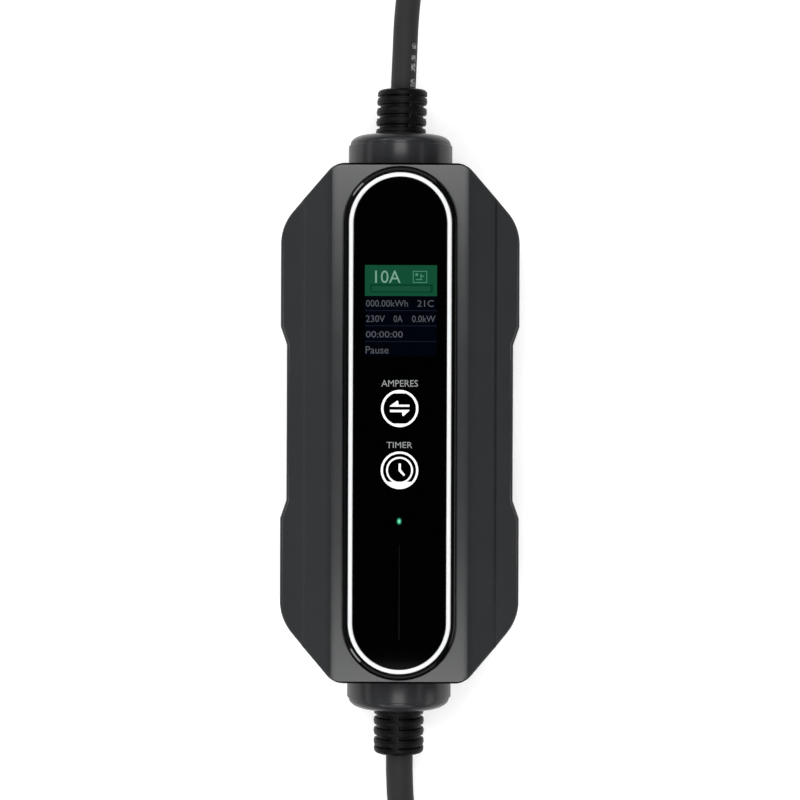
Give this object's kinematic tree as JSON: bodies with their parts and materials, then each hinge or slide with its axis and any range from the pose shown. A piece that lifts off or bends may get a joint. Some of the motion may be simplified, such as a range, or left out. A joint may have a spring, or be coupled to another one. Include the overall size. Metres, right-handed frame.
{
  "type": "portable ev charger",
  "caption": "Portable EV charger: grey control box with a screen and touch keys, a mains plug on a short lead, and a car connector on a folded lead.",
  "frame": {"origin": "middle of the box's footprint, on the back face that it lies on", "axes": "+X across the box, +Y along it towards the mains lead, +Z out of the screen"},
  "size_m": [0.1106, 0.7743, 0.1141],
  "materials": {
    "shell_plastic": "fine satin grain, dark grey",
    "gloss_black": "polished black",
    "trim_white": "smooth white",
    "cap_plastic": "satin, turned look",
    "boot_rubber": "moulded matte black",
    "lead_jacket": "semi-matte jacket, dark grey",
    "screw_steel": "zinc-plated",
    "contact_nickel": "nickel-plated, semi-bright",
    "board_green": "solder-resist green",
    "seal_rubber": "soft silicone",
    "screen_glass": "display glass",
    "clear_plastic": "clear light guide",
    "pad_foam": "conductive foam",
    "connector_black": "fine-textured black",
    "insert_grey": "moulded dark grey",
    "tie_fabric": "woven hook-and-loop",
    "relay_case": "moulded case",
    "winding_tape": "insulating tape",
    "capacitor_sleeve": "shrunk sleeve",
    "fuse_ceramic": "glazed",
    "varistor_coat": "dipped coating",
    "chip_epoxy": "moulded epoxy",
    "terminal_plastic": "moulded green"
  },
  "bodies": {
    "root": {"board_screw_1": "screw_steel", "board_screw_2": "screw_steel", "board_screw_3": "screw_steel", "board_screw_4": "screw_steel", "capacitor_1": "capacitor_sleeve", "capacitor_2": "capacitor_sleeve", "case_screw_1": "screw_steel", "case_screw_2": "screw_steel", "case_screw_3": "screw_steel", "case_screw_4": "screw_steel", "case_screw_5": "screw_steel", "case_screw_6": "screw_steel", "connector_boot": "boot_rubber", "connector_nose": "connector_black", "contact_insert": "insert_grey", "controller_chip": "chip_epoxy", "display_module": "screen_glass", "front_shell": "shell_plastic", "fuse": "fuse_ceramic", "handle_shell_left": "connector_black", "handle_shell_right": "connector_black", "input_terminal": "terminal_plastic", "key_pad_current": "pad_foam", "key_pad_timer": "pad_foam", "leakage_sensor": "winding_tape", "light_guide": "clear_plastic", "main_board": "board_green", "mains_boot": "boot_rubber", "mains_end_cap": "cap_plastic", "mains_lead": "lead_jacket", "mains_lead_tail": "lead_jacket", "output_terminal": "terminal_plastic", "panel_bezel": "gloss_black", "panel_trim": "trim_white", "panel_window": "gloss_black", "plug_body": "boot_rubber", "plug_boot": "boot_rubber", "plug_earth_clip_1": "contact_nickel", "plug_earth_clip_2": "contact_nickel", "plug_pin_live": "contact_nickel", "plug_pin_neutral": "contact_nickel", "rear_shell": "shell_plastic", "relay_live": "relay_case", "relay_neutral": "relay_case", "ribbon_cable": "pad_foam", "seal_left": "seal_rubber", "seal_right": "seal_rubber", "status_light": "clear_plastic", "touch_board": "board_green", "transformer": "winding_tape", "varistor": "varistor_coat", "vehicle_boot": "boot_rubber", "vehicle_coil": "lead_jacket", "vehicle_end_cap": "cap_plastic", "vehicle_lead": "lead_jacket", "vehicle_lead_end": "lead_jacket", "vehicle_lead_tail": "lead_jacket", "vehicle_tie_1": "tie_fabric", "vehicle_tie_2": "tie_fabric"}
  },
  "joints": []
}
